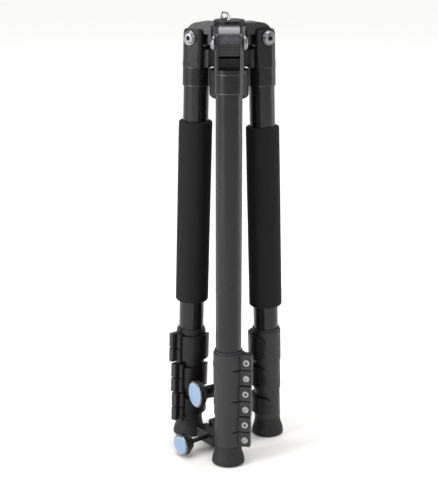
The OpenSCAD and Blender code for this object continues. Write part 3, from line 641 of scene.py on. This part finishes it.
def makeTwistLock():
    look = twistLock
    outer, height, bore, neck = look["radius"], look["height"], look["bore"], look["neckBore"]
    corner, edge, lip = look["corner"], look["edge"], look["lip"]
    profile = ([(bore, look["boreEdge"]), (bore + edge, 0.0)]
               + roundedCorner(outer, corner, corner, -90, look["cornerParts"])
               + [(outer, z) for z in look["ribBand"]]
               + [(outer - r, height - z) for r, z in look["rim"]]
               + [(neck + edge, height), (neck, height - edge), (neck, lip), (bore, lip),
                  (bore, look["boreEdge"])])
    piece = turned("columnTwistLock", profile, steps=look["ribs"] * fluteForm["parts"])
    flute(piece, look["ribs"], look["ribDepth"], look["ribBand"], outer)
    smooth(piece)
    place(piece, Matrix.Translation((0, 0, look["low"] * mm)))
    dress(piece, "mouldedAbs", "column_lock")


endCap = {"seat": 428.14,
          "profile": [(1.25, -13.9), (10.9, -13.9), (11.4, -13.4), (11.4, 0), (14.2, 0), (14.8, 0.4),
                      (14.88, 1.8), (14.5, 2.2), (14.0, 2.3), (14.0, 2.7), (14.5, 2.85), (14.86, 3.3),
                      (14.82, 4.2), (14.4, 4.75), (13.5, 4.92), (13.1, 4.85), (12.7, 4.52),
                      (8.0, 4.44), (3.3, 4.4), (1.25, 4.4), (1.25, -13.9)]}


def makeEndCap():
    piece = turned("columnEndCap", endCap["profile"])
    smooth(piece)
    place(piece, Matrix.Translation((0, 0, endCap["seat"] * mm)))
    dress(piece, "mouldedAbs", "column_end_cap")


weightHook = {"base": 432.77, "pin": 1.08, "eye": 3.1, "wire": 1.1, "side": 4.6, "pinTop": 4.6,
              "pinLow": -18.0, "flange": 2.55, "flangeHigh": 1.1, "rivet": 0.6, "edge": 0.3,
              "rivetGap": 0.1, "fillet": 0.25, "nose": (0.7, 0.2), "steps": 40,
              "eyeParts": (56, 18), "softAngle": 50}


def makeWeightHook():
    look = weightHook
    pin, flange, high = look["pin"], look["flange"], look["flangeHigh"]
    low, top, edge, gap = look["pinLow"], look["pinTop"], look["edge"], look["rivetGap"]
    shank = turned("weightHook", [
        (0, low - look["rivet"]), (flange - edge, low - look["rivet"]), (flange, low - edge),
        (flange, low - gap), (pin, low - gap), (pin, 0.0), (flange, 0.0), (flange, high - edge),
        (flange - edge, high), (pin + look["fillet"], high), (pin, high + edge),
        (pin, top - look["nose"][0]), (pin - edge, top - look["nose"][1]), (0, top)],
        steps=look["steps"])
    around, section = look["eyeParts"]
    eye = primitive("eye", "torus", major_segments=around, minor_segments=section,
                    major_radius=look["eye"] * mm, minor_radius=look["wire"] * mm,
                    location=(-look["side"] * mm, 0, (high + look["eye"]) * mm),
                    rotation=(math.radians(90), 0, 0))
    atOrigin(eye)
    piece = joined("weightHook", [shank, eye])
    smooth(piece, look["softAngle"])
    place(piece, Matrix.Translation((0, 0, look["base"] * mm)))
    dress(piece, "chromedWire", "weight_hook")


makeTwistLock()
makeEndCap()
makeWeightHook()
print("column trim ready")

# mouldings and castings: the solids' own shapes, with their sharp edges broken by so many mm
brokenEdges = {
    "satinHubCasting": {"hub": 0.25},
    "paintedCasting": {"head_base": 0.4, "ball_housing": 0.6, "clamp_body": 0.5, "clamp_jaw": 0.5,
                       "camera_plate": 0.3, "casting": 0.45},
    "glassFilledNylon": {"clamp_1": 0.35, "clamp_2": 0.35, "clamp_3": 0.35, "angle_tab": 0.5},
    # the levers' darker nylon is partly painted shade
    "blackAndShadedLeverNylon": {"lever_1": 0.5, "lever_2": 0.5, "lever_3": 0.5},
    "mouldedAbs": {"pan_knob": 0.25},
    "machinedSteel": {"camera_screw": 0.2},
}


def camelName(node):  # frontClamp1 for front_clamp_1, and hubCasting for hub
    first, *rest = node.split("_")
    return first + "".join(word.capitalize() for word in rest or ["casting"])


for material, edges in brokenEdges.items():
    for part, edge in edges.items():
        for node in ([part] if part in nodes else [leg + "_" + part for leg in legTurns]):
            dress(softened(camelName(node), node, edge), material, node)

# clamp screws: plated heads with painted shade in their sockets, and the lower one of each pair has a
# bright socket floor
clampScrew = {"face": -6.04, "mouth": -7.45, "reach": (19.92, 19.32, 18.72),
              "turns": {"front": (75, 75, 75), "right": (75, 77, 83), "left": (75, 83, 85)},
              "mids": (315.25, 347.5, 379.75), "drop": 8.0, "head": 3.3, "socket": 1.72,
              "brightFloor": 0.9}


def paintScrews(leg, n):
    look = clampScrew
    piece = bpy.data.objects[camelName("%s_clamp_%d" % (leg, n + 1))]
    home = (legFrame(leg) @ Matrix.Translation((0, 0, -look["mids"][n] * mm))
            @ Matrix.Rotation(math.radians(look["turns"][leg][n]), 4, "Z")).inverted()

    def offScrew(spot):
        return math.hypot(spot.x - look["reach"][n] * mm, abs(spot.z) - look["drop"] * mm)

    def onHead(centre, normal):
        spot = home @ centre
        return spot.y < look["face"] * mm and offScrew(spot) < look["head"] * mm

    def inShadedSocket(centre, normal):
        spot = home @ centre
        off = offScrew(spot)
        sunk = look["mouth"] * mm < spot.y < look["face"] * mm
        # painted shade on all but the middle of the lower screw's socket floor
        dark = spot.z > 0 or off > look["brightFloor"] * mm
        return sunk and off < look["socket"] * mm and dark

    paint(piece, "zincScrew", onHead)
    # painted shade on the sockets' walls and floors
    paint(piece, "paintedSocketShade", inShadedSocket)


# the lines turned round a casting's collar, at these distances down the leg
collarLines = {"from": ((28.15, 28.75), (45.55, 46.15)), "floor": 13.35}


def paintLines(leg):
    home = legFrame(leg).inverted()

    def onLine(centre, normal):
        spot = home @ centre
        inBand = any(a * mm < -spot.z < b * mm for a, b in collarLines["from"])
        return inBand and spot.xy.length < collarLines["floor"] * mm

    paint(bpy.data.objects[camelName(leg + "_casting")], "turnedLine", onLine)


# the domes at the arms' ends, which take a painted highlight: distances from the pivot, in mm
armDome = {"in": 7.0, "radius": 14.8, "half": 9.5, "low": 0.5, "slack": 0.15}


def paintDomeSheen():
    look = armDome
    homes = [armFrame(leg).inverted() for leg in legTurns]

    def offDome(spot):
        return abs(math.hypot(spot.x + look["in"] * mm, spot.z) - look["radius"] * mm)

    def onSheenDome(centre, normal):
        spots = [home @ centre for home in homes]
        return any(abs(spot.y) < look["half"] * mm and spot.z > look["low"] * mm
                   and spot.x > -look["in"] * mm and offDome(spot) < look["slack"] * mm
                   for spot in spots)

    # a lighter grey painted on the domes as a highlight
    paint(bpy.data.objects[camelName("hub")], "paintedSheenDome", onSheenDome)


paintDomeSheen()
for leg in legTurns:
    paintLines(leg)
    for n in range(len(clampScrew["mids"])):
        paintScrews(leg, n)
print("castings and mouldings ready")

# solids that keep their shape
kept = {
    "powderCoatedTube": ["column_tube"] + [leg + "_tube_%d" % n for leg in legTurns
                                           for n in (1, 2, 3, 4)],
    "clearAnodisedBall": ["ball_stem"],
    "turnedAcetal": ["ball_seat"],
}
for material, names in kept.items():
    for name in names:
        nodes[name].data.materials.clear()
        nodes[name].data.materials.append(finish[material])
print("solids finished")
